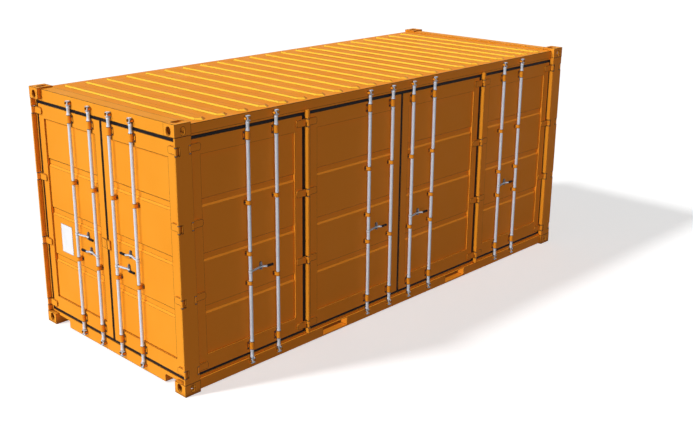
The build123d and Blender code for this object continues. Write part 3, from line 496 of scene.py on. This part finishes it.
def rod_bolts(name, body, face, rods):
    """The bolts of the bearings and guides of some rods, as one piece."""
    shape = bmesh.new()
    for u in rods:
        for z in BEARING_HEIGHTS:
            for across in (-BEARING_BOLT_U, BEARING_BOLT_U):
                for up in (-BEARING_BOLT_Z, BEARING_BOLT_Z):
                    bolt(shape, face, u + across, BEARING_FRONT, z + up)
        third = (GUIDE_THIRD,) if face is on_side and u in GUIDE_THIRD_RODS else ()
        for z in GUIDE_HEIGHTS + third:
            for across in (-GUIDE_BOLT_U, GUIDE_BOLT_U):
                bolt(shape, face, u + across, GUIDE_FRONT, z)
    make_piece(name, body, BOLT_STEEL, shape)


def make_grips():
    """A grip on each handle of both ends and of the folding side."""
    for u, body, side, z in END_RODS:
        grip("grip_" + body, body, on_near, u, side, z)
        grip("grip_far_" + body.removeprefix("end_rod_"), "container", on_far, u, side, z)
    for index, (u, side) in enumerate(SIDE_RODS, 1):
        body = "side_rod_%d" % index
        if side:
            grip("grip_" + body, body, on_side, u, side, HANDLE_LOW)


def make_bolts():
    """The bolts that hold the rods' bearings and guides on their doors."""
    end_rods = [row[0] for row in END_RODS]
    rod_bolts("end_bolts_left", "end_door_left", on_near, [u for u in end_rods if u < 0])
    rod_bolts("end_bolts_right", "end_door_right", on_near, [u for u in end_rods if u > 0])
    rod_bolts("side_bolts", "container", on_side, [row[0] for row in SIDE_RODS])
    rod_bolts("far_bolts", "container", on_far, end_rods)


def dress_nodes():
    """Each CAD node gets the material of its slot in the record, or a closer one."""
    for row in frame["record"]["subparts"]:
        name = row["node"]
        # The castings take paint with deeper painted shade, for their holes
        if name.startswith("corner_castings"):
            material = CASTING_PAINT
        elif name.startswith(("side_door_", "door_side_rail", "side_header")):
            material = LEDGE_PAINT
        else:
            material = MATERIALS[row["material_slot"]]
        piece = NODES[name]
        if not piece.material_slots:
            piece.data.materials.append(material)
        for entry in piece.material_slots:
            entry.material = material


def not_lighting(tree):
    """1 for the rays that see a surface or mirror it, 0 for those that light one."""
    path = tree.nodes.new("ShaderNodeLightPath")
    total = path.outputs["Is Camera Ray"]
    for name in ("Is Glossy Ray", "Is Transmission Ray"):
        join = tree.nodes.new("ShaderNodeMath")
        join.operation = "MAXIMUM"
        tree.links.new(total, join.inputs[0])
        tree.links.new(path.outputs[name], join.inputs[1])
        total = join.outputs[0]
    return total


def make_floor():
    """A wide floor that looks white, apart from the container's shadow on it."""
    made = Nodes("floor_white")
    made.tree.nodes.remove(made.shader)
    seen = not_lighting(made.tree)
    tone = made.blend(seen, FLOOR_BOUNCE, FLOOR_SEEN)
    matt = made.add("ShaderNodeBsdfDiffuse", Color=tone)
    level = made.ramp(seen, 0.0, 1.0, 0.0, FLOOR_GLOW)
    glow = made.add("ShaderNodeEmission", Color=(1, 1, 1, 1), Strength=level)
    both = made.add("ShaderNodeAddShader")
    made.link(matt.outputs[0], both.inputs[0])
    made.link(glow.outputs[0], both.inputs[1])
    made.link(both.outputs[0], made.output.inputs["Surface"])
    mesh = bpy.data.meshes.new("floor")
    shape = bmesh.new()
    bmesh.ops.create_circle(shape, cap_ends=True, segments=FLOOR_SIDES, radius=FLOOR_RADIUS)
    bmesh.ops.translate(shape, verts=shape.verts, vec=(0, 0, -FLOOR_DROP))
    shape.to_mesh(mesh)
    shape.free()
    mesh.materials.append(made.material)
    floor = bpy.data.objects.new("floor", mesh)
    bpy.context.scene.collection.objects.link(floor)


def make_world():
    """A pale even sky that looks white to the camera and in reflections."""
    world = bpy.data.worlds.new("sky")
    bpy.context.scene.world = world
    world.use_nodes = True
    tree = world.node_tree
    tree.nodes.clear()
    output = tree.nodes.new("ShaderNodeOutputWorld")
    strength = tree.nodes.new("ShaderNodeMapRange")
    tree.links.new(not_lighting(tree), strength.inputs["Value"])
    strength.inputs["To Min"].default_value = SKY_LEVEL
    strength.inputs["To Max"].default_value = 1.0
    background = tree.nodes.new("ShaderNodeBackground")
    background.inputs["Color"].default_value = (1, 1, 1, 1)
    tree.links.new(strength.outputs[0], background.inputs["Strength"])
    tree.links.new(background.outputs[0], output.inputs["Surface"])


def towards(azimuth, height):
    """The direction of a point in the sky, its angles in degrees."""
    around = math.radians(azimuth)
    up = math.radians(height)
    return Vector((math.cos(around) * math.cos(up), math.sin(around) * math.cos(up), math.sin(up)))


def make_suns():
    """The key sun and the weaker one."""
    for index, (azimuth, height, power, spread, shadow) in enumerate(SUNS):
        data = bpy.data.lights.new("sun_%d" % index, "SUN")
        data.energy = power
        data.angle = math.radians(spread)
        data.use_shadow = shadow
        sun = bpy.data.objects.new("sun_%d" % index, data)
        sun.rotation_mode = "QUATERNION"
        sun.rotation_quaternion = towards(azimuth, height).to_track_quat("Z", "Y")
        bpy.context.scene.collection.objects.link(sun)


def make_camera():
    """The photograph's own viewpoint and framing."""
    data = bpy.data.cameras.new("camera")
    data.sensor_width = SENSOR
    data.lens = FOCAL_PIXELS * SENSOR / PHOTO_WIDTH
    data.shift_x = (PHOTO_WIDTH / 2 - CENTRE_U) / PHOTO_WIDTH
    data.shift_y = (CENTRE_V - PHOTO_HEIGHT / 2) / PHOTO_WIDTH
    data.clip_start = NEAR_CLIP
    data.clip_end = FAR_CLIP
    camera = bpy.data.objects.new("camera", data)
    camera.location = CAMERA_PLACE
    back = towards(CAMERA_AZIMUTH - 90, CAMERA_DROP)
    camera.rotation_mode = "QUATERNION"
    camera.rotation_quaternion = back.to_track_quat("Z", "Y")
    bpy.context.scene.collection.objects.link(camera)
    bpy.context.scene.camera = camera


dress_nodes()
make_grips()
make_bolts()
make_floor()
make_world()
make_suns()
make_camera()
bpy.context.scene.view_settings.view_transform = "Standard"
